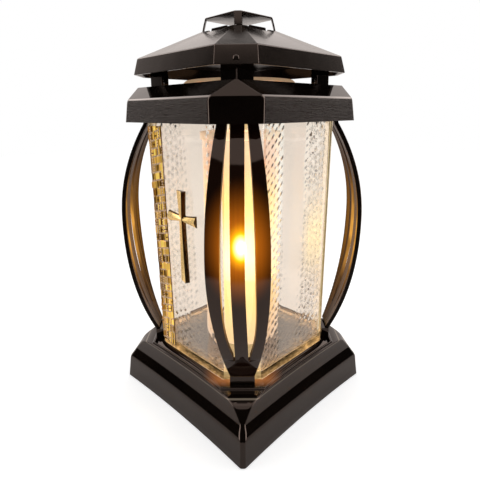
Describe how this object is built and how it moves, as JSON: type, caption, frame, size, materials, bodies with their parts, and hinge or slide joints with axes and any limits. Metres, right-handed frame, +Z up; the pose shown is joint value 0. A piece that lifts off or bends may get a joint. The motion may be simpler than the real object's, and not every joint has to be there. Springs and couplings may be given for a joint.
{
  "type": "grave lantern",
  "caption": "Grave lantern with a dark moulded base, bowed corner ribs, a pressed glass body with a gold cross, a two-tier vented lid and a refill candle.",
  "frame": {"origin": "middle of the base's underside, on the surface that the lantern stands on", "axes": "+Z up, -Y towards the face with the cross, +X towards the plain face on its right"},
  "size_m": [0.1754, 0.1754, 0.3305],
  "materials": {
    "dark_plastic": "glossy, nearly black brown",
    "rib_plastic": "glossy dark brown",
    "seal_rubber": "matt, pale",
    "clear_glass": "clear pressed glass, part smooth and part pebbled",
    "gold_metal": "bright gold relief",
    "gold_tin": "thin gold-lacquered tin",
    "cup_plastic": "thin milky film",
    "wax": "cream wax",
    "wick_thread": "charred thread",
    "plain_tin": "plain stamped tin"
  },
  "bodies": {
    "lantern": {"base_shell": "dark_plastic", "glass_seal": "seal_rubber", "glass_body": "clear_glass", "gold_strip": "gold_metal", "gold_cross": "gold_metal", "rib_right_back": "rib_plastic", "rib_left_back": "rib_plastic", "rib_left_front": "rib_plastic", "rib_right_front": "rib_plastic", "top_ring": "dark_plastic"},
    "lid": {"lid_lower": "dark_plastic", "post_right_back": "dark_plastic", "post_left_back": "dark_plastic", "post_left_front": "dark_plastic", "post_right_front": "dark_plastic", "roof_upper": "dark_plastic", "pin_right_back": "dark_plastic", "pin_left_back": "dark_plastic", "pin_left_front": "dark_plastic", "pin_right_front": "dark_plastic", "vent_collar": "dark_plastic", "vent_cap": "dark_plastic", "heat_shield": "gold_tin"},
    "candle": {"candle_cup": "cup_plastic", "candle_wax": "wax", "candle_wick": "wick_thread", "wick_sustainer": "plain_tin", "candle_tin": "gold_tin"}
  },
  "joints": [
    {"name": "lid_lift", "type": "slide", "parent": "lantern", "child": "lid", "axis": [0, 0, 1], "range_m": [0, 0.22]},
    {"name": "candle_lift", "type": "slide", "parent": "lantern", "child": "candle", "axis": [0, 0, 1], "range_m": [0, 0.187]}
  ],
  "couplings": [
    {"joint": "candle_lift", "follows": "lid_lift", "ratio": 0.85}
  ]
}
